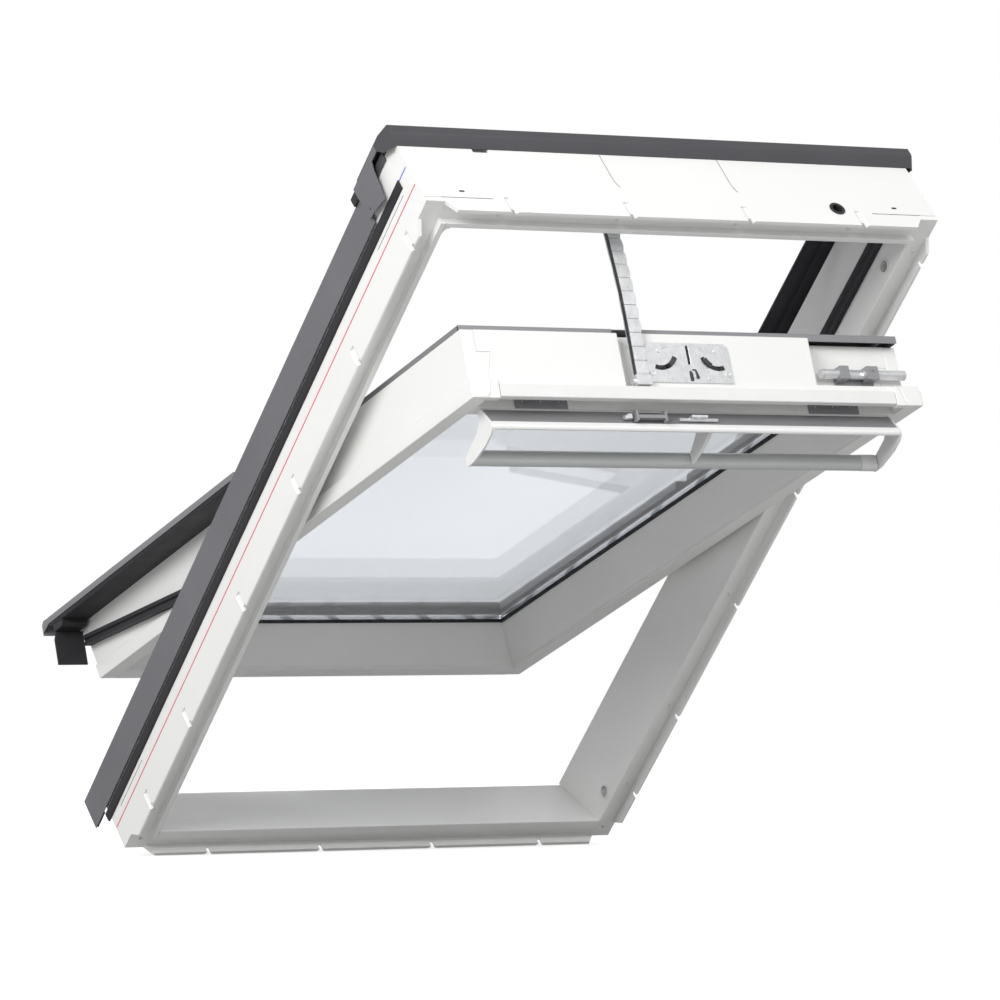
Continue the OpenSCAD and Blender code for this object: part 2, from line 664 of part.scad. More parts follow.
module corner_flaps() color(black) on_sash() both_sides()
    bar_v(-37, -34, [[sash_x - stile_step, 32.6], [flange_x, 32.6], [flange_x, 70],
        [flange_x - 4, 82], [sash_x - stile_step, 82]]);

// Double-lipped rubber strips that slant across the outer sides of the lower stiles
seal_slope = 0.125;
module side_seals() color(black) on_sash() both_sides() difference() {
    union() {
        bar_x(sash_x - stile_step, sash_x + 6, seal_outline(52, 68, -16));
        bar_x(sash_x - stile_step, sash_x + side_gap - 1.2, seal_outline(52, 56.5, -17));
        bar_x(sash_x - stile_step, sash_x + side_gap - 1.2, seal_outline(61, 65.5, -18));
    }
    stile();
}
function seal_outline(w0, w1, u0) = let (u1 = 330) [[u0, w0 - u0 * seal_slope],
    [u1, w0 - u1 * seal_slope], [u1, w1 - u1 * seal_slope], [u0, w1 - u0 * seal_slope]];

// Ring sector as an outline, for the slots that the claws move in
function sector(c, r0, r1, a0, a1, steps = 10) = concat(arc(c, r1, a0, a1, steps),
    arc(c, r0, a1, a0, steps));
function flip_x(outline) = [for (p = outline) [lock_l + lock_r + 1 - p[0], p[1]]];
left_slot = sector(claw_pivots[0], claw_r0, claw_r1, 248, 339);

module lock_plate() color(steel) on_sash() difference() {
    bar_v(end_u, end_u + lock_t, concat([[lock_l, lock_w0], [lock_r, lock_w0]],
        arc([lock_r - 9, lock_w1 - 9], 9, 0, 90, 5), arc([lock_l + 9, lock_w1 - 9], 9, 90, 180, 5)));
    bar_v(end_u - 1, end_u + lock_t + 1, left_slot);
    bar_v(end_u - 1, end_u + lock_t + 1, flip_x(left_slot));
    block(-8.5, -4.5, end_u - 1, end_u + lock_t + 1, 53, 79);
    block(-9, -5, end_u - 1, end_u + lock_t + 1, 30, 44);
    for (p = claw_pivots) rod_v(p[0], p[1], end_u - 1, end_u + lock_t + 1, rivet_r);
}

module lock_rivets() color("silver") on_sash() {
    for (p = claw_pivots) {
        rod_v(p[0], p[1], end_u - 19.7, end_u + lock_t, rivet_r);
        rod_v(p[0], p[1], end_u + lock_t, end_u + lock_t + 1, rivet_r + 0.6);
    }
    for (p = small_rivets) rod_v(p[0], p[1], end_u + lock_t, end_u + lock_t + 1, rivet_r);
    for (p = ring_screws) difference() {
        rod_v(p[0], p[1], end_u + lock_t, end_u + lock_t + 1.2, 4.4);
        rod_v(p[0], p[1], end_u + lock_t + 0.4, end_u + lock_t + 2, 2.4);
    }
}

// One lock claw: an arm on its rivet behind the plate, with a tongue out through the slot
module claw(c) difference() {
    union() {
        bar_v(end_u - 4.2, end_u - 0.3, concat(arc(c, 6, 30, 240, 10),
            arc(c, claw_r1 - 0.4, 300, 332, 6)));
        bar_v(end_u - 2, end_u + lock_t + 3.4, sector(c, claw_r0 + 0.4, claw_r1 - 0.4, 300, 332, 6));
    }
    rod_v(c[0], c[1], end_u - 5, end_u, rivet_r + run_clear);
}

module lock_claw_left() color("gray") on_sash() claw(claw_pivots[0]);
module lock_claw_right() color("gray") on_sash()
    translate([lock_l + lock_r + 1, 0, 0]) to_left() claw(claw_pivots[0]);

// Two saddles for the barrel bolt, on feet that stand on the recess floor
module bolt_brackets() color(mid_grey) on_sash() difference() {
    union() {
        for (x = [[232, 246], [274, 292]]) {
            block(x[0], x[1], bolt_recess_u, bolt_u + bolt_rad + 2.5, bolt_w - 9, bolt_w + 9);
            block(x[0], x[1], bolt_recess_u, bolt_recess_u + 3, lock_w0 + 2, bolt_w);
        }
        block(246, 274, bolt_recess_u, bolt_recess_u + 2, lock_w0 + 4, bolt_w + 4);
    }
    rod_x(230, 294, bolt_u, bolt_w, bolt_rad + run_clear);
    rod_v(283, bolt_w, bolt_u + bolt_rad + 1.6, bolt_u + bolt_rad + 4, 3.4);
}

module barrel_bolt() color(steel) on_sash() difference() {
    union() {
        rod_x(bolt_x0 + 3, sash_x - 5, bolt_u, bolt_w, bolt_rad);
        rod_x(bolt_x0, bolt_x0 + 2, bolt_u, bolt_w, bolt_rad);
        rod_x(bolt_x0 + 1, bolt_x0 + 4, bolt_u, bolt_w, bolt_rad - 1.2);
    }
    block(250, 270, bolt_u + 2.5, bolt_u + bolt_rad + 1, bolt_w - 3.2, bolt_w + 3.2);
}

// Pivot plate on the stile's outer side, with the pin that turns in the frame's plate
module sash_pivot() {
    rod_x(sash_x - stile_step, inner_x - 6.4, pivot_u, pivot_w, 12);
    rod_x(inner_x - 7, inner_x - 0.6, pivot_u, pivot_w, pin_r);
    difference() {
        block(sash_x - stile_step, sash_x - 0.4, pivot_u - 62, pivot_u + 62, 60, sash_depth - 4);
        for (u = [pivot_u - 48, pivot_u + 48]) rod_x(sash_x - 2, sash_x, u, 76, 3.5);
    }
}

module sash_pivot_left() color(steel) on_sash() to_left() sash_pivot();
module sash_pivot_right() color(steel) on_sash() sash_pivot();

// ---- Control bar ----

// Folded flap: a sloped face from the hinge to a rounded nose along its front edge
module flap()
    bar_x(-nose_x, nose_x, concat([[hinge_u, hinge_w], [hinge_u + 17, -25.5]],
        arc([hinge_u + 15.5, -31], 4.5, 60, -70, 6),
        [[hinge_u + 12, -33.5], [hinge_u + 12.5, -27], [hinge_u - 3, hinge_w - 3]]));

module control_flap() color(white) on_sash() flap();

// One end cap: a curved plate from the flap's end down to the end of the handle
cap_outline = concat([[hinge_u - 2, -0.4], [hinge_u + 18, -27]],
    [[hinge_u + 19, -33], [hinge_u + 13, -40], [hinge_u - 5, -49], [grip_u + 10, grip_w - 9],
        [grip_u - 7, grip_w - 10], [grip_u - 9, grip_w + 1], [grip_u + 4, grip_w + 10],
        [hinge_u - 20, -27], [hinge_u - 8, -12], [hinge_u - 8, -2]]);

module bar_end_caps() color(white) on_sash() both_sides()
    bar_x(nose_x, flap_x, cap_outline);

module handle_bar() color("gainsboro") on_sash()
    bar_x(-nose_x, nose_x, concat(arc([grip_u + 1, grip_w - 5], 5.5, 0, -90, 5),
        arc([grip_u - 1, grip_w - 5], 5.5, -90, -180, 5),
        arc([grip_u - 1, grip_w + 5], 5.5, 180, 90, 5), arc([grip_u + 1, grip_w + 5], 5.5, 90, 0, 5)));

module bar_middle_arm() color(mid_grey) on_sash() difference() {
    bar_x(16, 21, [[hinge_u + 12, -33.5], [hinge_u + 12.5, -27.4], [hinge_u - 4, -8],
        [hinge_u - 22, -26], [grip_u + 7.2, grip_w + 6], [grip_u + 7.2, grip_w - 7],
        [hinge_u - 12, -46]]);
    handle_room();
}
module handle_room() block(10, 30, grip_u - 20, grip_u + 6.6, grip_w - 20, grip_w + 20);

// Leaf hinges of the flap, on the wall of the rail's groove
module flap_hinges() color(dark_grey) on_sash() both_sides() {
    difference() {
        block(184, 262, hinge_u + 1, hinge_u + 3, -0.5, 16);
        for (x = [196, 223, 250]) rod_v(x, 9, hinge_u, hinge_u + 4, 1.6);
    }
}

// Bracket on the flap for the chain, with side cheeks
module chain_bracket() color(mid_grey) on_sash() difference() {
    union() {
        block(-94, -54, hinge_u + 8, hinge_u + 23, -18.4, -14);
        for (x = [-97, -54]) block(x, x + 3, hinge_u + 8, hinge_u + 24, -22, -8);
    }
    flap();
}

module release_catch() color("gray") on_sash() {
    block(-108, -101.5, hinge_u + 12.5, hinge_u + 20, -18.2, -12);
    rod_x(-112, -108, hinge_u + 16, -15.5, 3);
}

module bar_link() color("silver") on_sash() difference() {
    union() {
        block(-12, 12, hinge_u + 8, hinge_u + 22, -16, -13);
        rod_x(-28, 30, hinge_u + 14.5, -17, 2.5);
    }
    rod_n(0, hinge_u + 19, -17, -12, 2.4);
    flap();
}

// ---- Every piece, one node at a time ----

frame_head();
frame_sill();
frame_jamb_left();
frame_jamb_right();
lining_screws();
cable_grommet();
bolt_bushes();
jamb_gaskets();
jamb_cover_left();
jamb_cover_right();
cover_strips();
cover_ends();
upper_cover_left();
upper_cover_right();
upper_seals();
hood();
hood_bracket_left();
hood_bracket_right();
bracket_caps();
frame_pivot_left();
frame_pivot_right();
operator_housing();
push_chain();
lock_keeper();
chain_end();
stile_left();
stile_right();
top_rail();
bottom_rail();
edge_strip();
inner_pane();
outer_pane();
pane_spacer();
pane_seal();
glazing_gasket();
sash_top_cover();
side_cover_left();
side_cover_right();
bottom_cover();
flange_pads();
corner_blocks();
corner_flaps();
side_seals();
lock_plate();
lock_rivets();
bolt_brackets();
sash_pivot_left();
sash_pivot_right();
lock_claw_left();
lock_claw_right();
barrel_bolt();
control_flap();
bar_end_caps();
handle_bar();
bar_middle_arm();
flap_hinges();
chain_bracket();
bar_link();
release_catch();
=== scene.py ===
"""Centre-pivot roof window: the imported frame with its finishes, the linked push chain and the stage.

Sizes are in millimetres unless a name says otherwise. A place on the frame is (x, v, n): x across,
v up the slope from the sill's lower face and n outward. A place on the sash is (x, u, w): u up from
the sash's bottom inner edge and w outward from its inner face.
"""

import json
from math import cos, pi, radians, sin

import bmesh
import bpy
from mathutils import Matrix, Vector


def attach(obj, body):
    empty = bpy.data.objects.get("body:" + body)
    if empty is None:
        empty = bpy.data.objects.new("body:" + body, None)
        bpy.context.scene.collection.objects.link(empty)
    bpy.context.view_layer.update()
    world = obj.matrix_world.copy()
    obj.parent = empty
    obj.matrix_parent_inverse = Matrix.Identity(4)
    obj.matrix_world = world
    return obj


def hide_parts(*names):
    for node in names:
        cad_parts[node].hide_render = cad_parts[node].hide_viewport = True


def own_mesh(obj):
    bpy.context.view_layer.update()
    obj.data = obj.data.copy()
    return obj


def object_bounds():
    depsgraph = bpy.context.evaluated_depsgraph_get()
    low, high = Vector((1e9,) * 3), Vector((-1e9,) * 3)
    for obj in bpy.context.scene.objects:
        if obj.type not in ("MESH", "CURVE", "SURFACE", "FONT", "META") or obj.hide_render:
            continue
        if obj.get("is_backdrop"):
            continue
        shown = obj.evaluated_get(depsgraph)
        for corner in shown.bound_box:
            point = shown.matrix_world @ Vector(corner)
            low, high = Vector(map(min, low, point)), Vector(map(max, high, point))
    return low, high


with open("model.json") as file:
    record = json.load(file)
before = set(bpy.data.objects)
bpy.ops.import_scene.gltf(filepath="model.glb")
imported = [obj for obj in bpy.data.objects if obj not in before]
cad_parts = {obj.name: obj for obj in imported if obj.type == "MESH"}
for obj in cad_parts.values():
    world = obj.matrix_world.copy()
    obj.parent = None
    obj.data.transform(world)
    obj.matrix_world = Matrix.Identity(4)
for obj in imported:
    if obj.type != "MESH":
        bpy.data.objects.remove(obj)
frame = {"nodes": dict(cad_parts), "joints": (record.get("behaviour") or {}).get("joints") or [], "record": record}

bl_info = {
    "name": "Centre-pivot roof window",
    "version": (1, 0, 0),
    "blender": (4, 5, 0),
    "location": "View3D > Sidebar > Roof window",
    "description": "Finishes and small pieces of a centre-pivot roof window",
    "category": "Object",
}

MM = 0.001

# ---- The frame's and the sash's own directions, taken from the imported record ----

JOINTS = {joint["name"]: joint for joint in frame["joints"]}
MOUNTS = {mount["name"]: mount for mount in frame["record"]["mounts"]}
UP_SLOPE = -Vector(MOUNTS["sill_face"]["axis"]).normalized()
ACROSS = Vector((1, 0, 0))
OUTWARD = UP_SLOPE.cross(ACROSS)
SASH_UP = Vector(JOINTS["claw_left_turn"]["axis"]).normalized()
SASH_OUT = SASH_UP.cross(ACROSS)
PIVOT = Vector(JOINTS["vent_travel"]["pos_m"])

SILL_FACE_N = 50
PIVOT_V = 584
PIVOT_N = 118
PIVOT_U = 555.5
PIVOT_W = 89.6
OPENING = radians(26)
FRAME_HEIGHT = 1178
HEAD_INNER_V = 1142
FRAME_HALF_WIDTH = 390
SASH_END_U = 1083.5
SASH_TOP_U = 1091
HINGE_U = 1055
HINGE_W = -2
GRIP_U = 1007
GRIP_W = -49
LOCK_FACE_U = SASH_END_U + 1.8
PORT_V = HEAD_INNER_V + 6
PORT_N = 98


def on_frame(x, v, n):
    """The row-frame place, in metres, of a place on the frame."""
    return (ACROSS * x + UP_SLOPE * v + OUTWARD * (n - SILL_FACE_N)) * MM


def on_sash(x, u, w):
    """The row-frame place, in metres, of a place on the sash as it stands open."""
    return PIVOT + (ACROSS * x + SASH_UP * (u - PIVOT_U) + SASH_OUT * (w - PIVOT_W)) * MM


def sash_to_frame(u, w):
    """The (v, n) that a place on the open sash has on the frame."""
    du = u - PIVOT_U
    dw = w - PIVOT_W
    return (
        PIVOT_V + du * cos(OPENING) + dw * sin(OPENING),
        PIVOT_N - du * sin(OPENING) + dw * cos(OPENING),
    )


# ---- Small tools for meshes and materials ----


def linear(colour):
    """An sRGB hex colour as linear red, green, blue and alpha."""
    channels = [int(colour[i : i + 2], 16) / 255 for i in (1, 3, 5)]
    bent = [c / 12.92 if c <= 0.04045 else ((c + 0.055) / 1.055) ** 2.4 for c in channels]
    return (*bent, 1.0)


def add_node(tree, kind, values=None, links=None, **settings):
    """Adds a node with its settings, its sockets' own values and the outputs linked to them."""
    node = tree.nodes.new(kind)
    for name, value in settings.items():
        setattr(node, name, value)
    for socket, value in (values or {}).items():
        node.inputs[socket].default_value = value
    for socket, output in (links or {}).items():
        tree.links.new(output, node.inputs[socket])
    return node


def add_piece(name, bm, material, body, bevel=0.0):
    """Makes a named piece of a bmesh, gives it its finish and lets it ride on a body."""
    bmesh.ops.recalc_face_normals(bm, faces=bm.faces)
    mesh = bpy.data.meshes.new(name)
    bm.to_mesh(mesh)
    bm.free()
    piece = bpy.data.objects.new(name, mesh)
    bpy.context.scene.collection.objects.link(piece)
    mesh.materials.append(bpy.data.materials[material])
    if bevel:
        soften(piece, bevel)
    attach(piece, body)
    return piece


def soften(piece, width):
    """Rounds the piece's edges by a width in millimetres, the way a real edge catches light."""
    for polygon in piece.data.polygons:
        polygon.use_smooth = True
    weld = piece.modifiers.new("Joined corners", "WELD")
    weld.merge_threshold = 0.00001
    bevel = piece.modifiers.new("Rounded edges", "BEVEL")
    bevel.width = width * MM
    bevel.segments = 2
    bevel.limit_method = "ANGLE"
    bevel.angle_limit = radians(32)
    bevel.use_clamp_overlap = True
    shading = piece.modifiers.new("Even shading", "WEIGHTED_NORMAL")
    shading.keep_sharp = False
    shading.weight = 80


def prism(bm, outline, place, low, high):
    """A closed prism: outline points and a depth go through place to give its corners."""
    lower = [bm.verts.new(place(a, b, low)) for a, b in outline]
    upper = [bm.verts.new(place(a, b, high)) for a, b in outline]
    bm.faces.new(lower)
    bm.faces.new(upper)
    for i in range(len(outline)):
        j = (i + 1) % len(outline)
        bm.faces.new((lower[i], lower[j], upper[j], upper[i]))


def rectangle(low_a, high_a, low_b, high_b):
    """The four corners of a rectangle, in order."""
    return ((low_a, low_b), (high_a, low_b), (high_a, high_b), (low_a, high_b))


def arc(centre, radius, start, end, steps=8):
    """Points along an arc, with its angles in degrees."""
    points = []
    for i in range(steps + 1):
        angle = radians(start + (end - start) * i / steps)
        points.append((centre[0] + radius * cos(angle), centre[1] + radius * sin(angle)))
    return points


def new_surface(name):
    """An empty node material, and its tree, shader and object coordinates."""
    material = bpy.data.materials.new(name)
    material.use_nodes = True
    tree = material.node_tree
    tree.nodes.clear()
    shader = add_node(tree, "ShaderNodeBsdfPrincipled")
    add_node(tree, "ShaderNodeOutputMaterial", links={"Surface": shader.outputs["BSDF"]})
    place = add_node(tree, "ShaderNodeTexCoord").outputs["Object"]
    return material, tree, shader, place


def wave_scale(spacing, turns=20):
    """The scale that sets a wave texture's bands a number of millimetres apart."""
    return 2 * pi / (turns * spacing * MM)


# ---- Materials: colours come in as linear values ----


def lacquered_polyurethane(name, light, shade, roughness):
    """Foam skin moulded round a timber core and lacquered: even white with a soft orange peel."""
    material, tree, shader, place = new_surface(name)
    cloud = add_node(tree, "ShaderNodeTexNoise", {"Scale": 1 / (180 * MM), "Detail": 3.0},
                     {"Vector": place})
    tone = add_node(tree, "ShaderNodeMix", {6: light, 7: shade}, {0: cloud.outputs["Fac"]},
                    data_type="RGBA")
    # The lacquer's orange peel is about 1 mm across; drawn at 2.4 mm so that it shows
    peel = add_node(tree, "ShaderNodeTexNoise", {"Scale": 1 / (2.4 * MM), "Detail": 2.0},
                    {"Vector": place})
    # Slow waves from the mould, seen where the surface mirrors light
    wave = add_node(tree, "ShaderNodeTexNoise", {"Scale": 1 / (70 * MM), "Detail": 1.0},
                    {"Vector": place})
    fine = add_node(tree, "ShaderNodeBump", {"Strength": 0.05, "Distance": 0.3 * MM},
                    {"Height": peel.outputs["Fac"]})
    bump = add_node(tree, "ShaderNodeBump", {"Strength": 0.25, "Distance": 1.2 * MM},
                    {"Height": wave.outputs["Fac"], "Normal": fine.outputs["Normal"]})
    gloss = add_node(tree, "ShaderNodeMapRange",
                     {"To Min": roughness - 0.05, "To Max": roughness + 0.07},
                     {"Value": cloud.outputs["Fac"]})
    tree.links.new(tone.outputs[2], shader.inputs["Base Color"])
    tree.links.new(gloss.outputs["Result"], shader.inputs["Roughness"])
    tree.links.new(bump.outputs["Normal"], shader.inputs["Normal"])
    shader.inputs["IOR"].default_value = 1.5
    shader.inputs["Coat Weight"].default_value = 0.25
    shader.inputs["Coat Roughness"].default_value = 0.18
    return material


def moulded_abs(name, light, shade, roughness, grain):
    """Injection-moulded ABS: even colour, with the fine spark-eroded grain of its tool; also used for the painted
    groove shade.
    """
    material, tree, shader, place = new_surface(name)
    cloud = add_node(tree, "ShaderNodeTexNoise", {"Scale": 1 / (60 * MM), "Detail": 2.0},
                     {"Vector": place})
    tone = add_node(tree, "ShaderNodeMix", {6: light, 7: shade}, {0: cloud.outputs["Fac"]},
                    data_type="RGBA")
    spark = add_node(tree, "ShaderNodeTexNoise", {"Scale": 1 / (grain * MM), "Detail": 3.0},
                     {"Vector": place})
    bump = add_node(tree, "ShaderNodeBump", {"Strength": 0.1, "Distance": 0.2 * MM},
                    {"Height": spark.outputs["Fac"]})
    gloss = add_node(tree, "ShaderNodeMapRange",
                     {"To Min": roughness - 0.04, "To Max": roughness + 0.08},
                     {"Value": spark.outputs["Fac"]})
    tree.links.new(tone.outputs[2], shader.inputs["Base Color"])
    tree.links.new(gloss.outputs["Result"], shader.inputs["Roughness"])
    tree.links.new(bump.outputs["Normal"], shader.inputs["Normal"])
    shader.inputs["IOR"].default_value = 1.53
    return material


def coil_coated_aluminium(name, light, shade, roughness):
    """Sheet coated on the coil, then folded: a matt film with fine speckle and rolling waves."""
    material, tree, shader, place = new_surface(name)
    # Pigment speckle is under 0.2 mm; drawn at 1.5 mm so that it shows
    speckle = add_node(tree, "ShaderNodeTexNoise", {"Scale": 1 / (1.5 * MM), "Detail": 4.0},
                       {"Vector": place})
    weather = add_node(tree, "ShaderNodeTexNoise", {"Scale": 1 / (140 * MM), "Detail": 4.0},
                       {"Vector": place})
    mixed = add_node(tree, "ShaderNodeMath", {1: 0.35}, {0: speckle.outputs["Fac"]},
                     operation="MULTIPLY")
    share = add_node(tree, "ShaderNodeMath", {1: 0.65},
                     {0: weather.outputs["Fac"], 2: mixed.outputs[0]}, operation="MULTIPLY_ADD")
    tone = add_node(tree, "ShaderNodeMix", {6: light, 7: shade}, {0: share.outputs[0]},
                    data_type="RGBA")
    rolled = add_node(tree, "ShaderNodeTexNoise", {"Scale": 1 / (90 * MM), "Detail": 1.0},
                      {"Vector": place})
    fine = add_node(tree, "ShaderNodeBump", {"Strength": 0.12, "Distance": 0.15 * MM},
                    {"Height": speckle.outputs["Fac"]})
    bump = add_node(tree, "ShaderNodeBump", {"Strength": 0.2, "Distance": 1.0 * MM},
                    {"Height": rolled.outputs["Fac"], "Normal": fine.outputs["Normal"]})
    gloss = add_node(tree, "ShaderNodeMapRange",
                     {"To Min": roughness - 0.06, "To Max": roughness + 0.08},
                     {"Value": weather.outputs["Fac"]})
    tree.links.new(tone.outputs[2], shader.inputs["Base Color"])
    tree.links.new(gloss.outputs["Result"], shader.inputs["Roughness"])
    tree.links.new(bump.outputs["Normal"], shader.inputs["Normal"])
    shader.inputs["Metallic"].default_value = 0.35
    return material


def extruded_rubber(name, light, shade):
    """Extruded EPDM: near black, matt, with faint lines along its length and chalky patches."""
    material, tree, shader, place = new_surface(name)
    dust = add_node(tree, "ShaderNodeTexNoise", {"Scale": 1 / (35 * MM), "Detail": 5.0},
                    {"Vector": place})
    tone = add_node(tree, "ShaderNodeMix", {6: shade, 7: light}, {0: dust.outputs["Fac"]},
                    data_type="RGBA")
    # Lines from the die are under 1 mm apart; drawn about 19 mm apart so that they show
    lines = add_node(tree, "ShaderNodeTexWave", {"Scale": wave_scale(18.85), "Distortion": 1.5},
                     {"Vector": place}, bands_direction="X")
    bump = add_node(tree, "ShaderNodeBump", {"Strength": 0.15, "Distance": 0.3 * MM},
                    {"Height": lines.outputs["Fac"]})
    gloss = add_node(tree, "ShaderNodeMapRange", {"To Min": 0.48, "To Max": 0.72},
                     {"Value": dust.outputs["Fac"]})
    tree.links.new(tone.outputs[2], shader.inputs["Base Color"])
    tree.links.new(gloss.outputs["Result"], shader.inputs["Roughness"])
    tree.links.new(bump.outputs["Normal"], shader.inputs["Normal"])
    shader.inputs["IOR"].default_value = 1.5
    return material


def zinc_plated_steel(name, light, shade, roughness):
    """Pressed steel, zinc plated and passivated: bright, with clouded crystals and tool marks."""
    material, tree, shader, place = new_surface(name)
    crystals = add_node(tree, "ShaderNodeTexVoronoi", {"Scale": 1 / (4 * MM)}, {"Vector": place})
    cloud = add_node(tree, "ShaderNodeTexNoise", {"Scale": 1 / (9 * MM), "Detail": 4.0},
                     {"Vector": place})
    share = add_node(tree, "ShaderNodeMath", {1: 0.5},
                     {0: crystals.outputs["Distance"], 2: cloud.outputs["Fac"]},
                     operation="MULTIPLY_ADD")
    tone = add_node(tree, "ShaderNodeMix", {6: shade, 7: light}, {0: share.outputs[0]},
                    data_type="RGBA")
    gloss = add_node(tree, "ShaderNodeMapRange",
                     {"To Min": roughness - 0.08, "To Max": roughness + 0.12},
                     {"Value": cloud.outputs["Fac"]})
    bump = add_node(tree, "ShaderNodeBump", {"Strength": 0.12, "Distance": 0.2 * MM},
                    {"Height": cloud.outputs["Fac"]})
    tree.links.new(tone.outputs[2], shader.inputs["Base Color"])
    tree.links.new(gloss.outputs["Result"], shader.inputs["Roughness"])
    tree.links.new(bump.outputs["Normal"], shader.inputs["Normal"])
    shader.inputs["Metallic"].default_value = 0.8
    return material


def anodised_aluminium(name, light, shade):
    """Extruded, brushed along its length and clear anodised: silky, with fine long lines."""
    material, tree, shader, place = new_surface(name)
    # Brushing lines are long along x and about 0.8 mm apart across it
    stretched = add_node(tree, "ShaderNodeMapping", {"Scale": (4.0, 1 / (0.8 * MM), 1 / (0.8 * MM))},
                         {"Vector": place})
    lines = add_node(tree, "ShaderNodeTexNoise", {"Scale": 1.0, "Detail": 3.0},
                     {"Vector": stretched.outputs["Vector"]})
    tone = add_node(tree, "ShaderNodeMix", {6: shade, 7: light}, {0: lines.outputs["Fac"]},
                    data_type="RGBA")
    gloss = add_node(tree, "ShaderNodeMapRange", {"To Min": 0.26, "To Max": 0.42},
                     {"Value": lines.outputs["Fac"]})
    bump = add_node(tree, "ShaderNodeBump", {"Strength": 0.15, "Distance": 0.1 * MM},
                    {"Height": lines.outputs["Fac"]})
    tree.links.new(tone.outputs[2], shader.inputs["Base Color"])
    tree.links.new(gloss.outputs["Result"], shader.inputs["Roughness"])
    tree.links.new(bump.outputs["Normal"], shader.inputs["Normal"])
    shader.inputs["Metallic"].default_value = 0.6
    return material


def two_tone_flap(name, face, face_shade, nose, slope_length):
    """Extruded flap: grey lacquer on the sloping face, white moulded edging along its front."""
    material, tree, shader, place = new_surface(name)
    hinge = on_sash(0, HINGE_U, HINGE_W)
    slope = (on_sash(0, HINGE_U + 17, -25.5) - hinge).normalized()
    moved = add_node(tree, "ShaderNodeVectorMath", {1: hinge}, {0: place}, operation="SUBTRACT")
    along = add_node(tree, "ShaderNodeVectorMath", {1: slope}, {0: moved.outputs["Vector"]},
                     operation="DOT_PRODUCT")
    edge = add_node(tree, "ShaderNodeMath", {1: slope_length * MM}, {0: along.outputs["Value"]},
                    operation="GREATER_THAN")
    # Faint drawing lines along the extrusion, about 1 mm apart
    stretched = add_node(tree, "ShaderNodeMapping", {"Scale": (3.0, 1 / (1 * MM), 1 / (1 * MM))},
                         {"Vector": place})
    lines = add_node(tree, "ShaderNodeTexNoise", {"Scale": 1.0, "Detail": 2.0},
                     {"Vector": stretched.outputs["Vector"]})
    grey = add_node(tree, "ShaderNodeMix", {6: face, 7: face_shade}, {0: lines.outputs["Fac"]},
                    data_type="RGBA")
    tone = add_node(tree, "ShaderNodeMix", {7: nose},
                    {0: edge.outputs[0], 6: grey.outputs[2]}, data_type="RGBA")
    bump = add_node(tree, "ShaderNodeBump", {"Strength": 0.1, "Distance": 0.1 * MM},
                    {"Height": lines.outputs["Fac"]})
    gloss = add_node(tree, "ShaderNodeMapRange", {"To Min": 0.3, "To Max": 0.42},
                     {"Value": lines.outputs["Fac"]})
    tree.links.new(tone.outputs[2], shader.inputs["Base Color"])
    tree.links.new(gloss.outputs["Result"], shader.inputs["Roughness"])
    tree.links.new(bump.outputs["Normal"], shader.inputs["Normal"])
    shader.inputs["IOR"].default_value = 1.5
    return material


def float_glass(name, tint):
    """Float glass with a soft coating: clear, faintly blue, with a little haze of dust."""
    material, tree, shader, place = new_surface(name)
    dust = add_node(tree, "ShaderNodeTexNoise", {"Scale": 1 / (120 * MM), "Detail": 5.0},
                    {"Vector": place})
    gloss = add_node(tree, "ShaderNodeMapRange", {"To Min": 0.0, "To Max": 0.025},
                     {"Value": dust.outputs["Fac"]})
    tree.links.new(gloss.outputs["Result"], shader.inputs["Roughness"])
    shader.inputs["Base Color"].default_value = tint
    shader.inputs["Transmission Weight"].default_value = 1.0
    shader.inputs["IOR"].default_value = 1.52
    return material


def bright_spacer(name, light, shade, spacing):
    """Roll-formed spacer bar, bright from the mill, with a row of small breathing slots."""
    material, tree, shader, place = new_surface(name)
    # The slots are about 2 mm apart; drawn far coarser, along x + y + z, so that they show
    slots = add_node(tree, "ShaderNodeTexWave", {"Scale": wave_scale(spacing, 10)},
                     {"Vector": place}, bands_direction="DIAGONAL")
    dots = add_node(tree, "ShaderNodeMapRange", {"From Min": 0.86, "From Max": 0.92},
                    {"Value": slots.outputs["Fac"]})
    tone = add_node(tree, "ShaderNodeMix", {6: light, 7: shade}, {0: dots.outputs["Result"]},
                    data_type="RGBA")
    bump = add_node(tree, "ShaderNodeBump", {"Strength": 0.2, "Distance": 0.3 * MM},
                    {"Height": dots.outputs["Result"]})
    tree.links.new(tone.outputs[2], shader.inputs["Base Color"])
    tree.links.new(bump.outputs["Normal"], shader.inputs["Normal"])
    shader.inputs["Metallic"].default_value = 0.6
    shader.inputs["Roughness"].default_value = 0.24
    return material


def printed_line(name, ink, worn):
    """Ink rolled on the moulding as a setting-out line: thin, slightly broken by the surface."""
    material, tree, shader, place = new_surface(name)
    broken = add_node(tree, "ShaderNodeTexNoise", {"Scale": 1 / (6 * MM), "Detail": 4.0},
                      {"Vector": place})
    tone = add_node(tree, "ShaderNodeMix", {6: ink, 7: worn}, {0: broken.outputs["Fac"]},
                    data_type="RGBA")
    tree.links.new(tone.outputs[2], shader.inputs["Base Color"])
    shader.inputs["Roughness"].default_value = 0.5
    return material


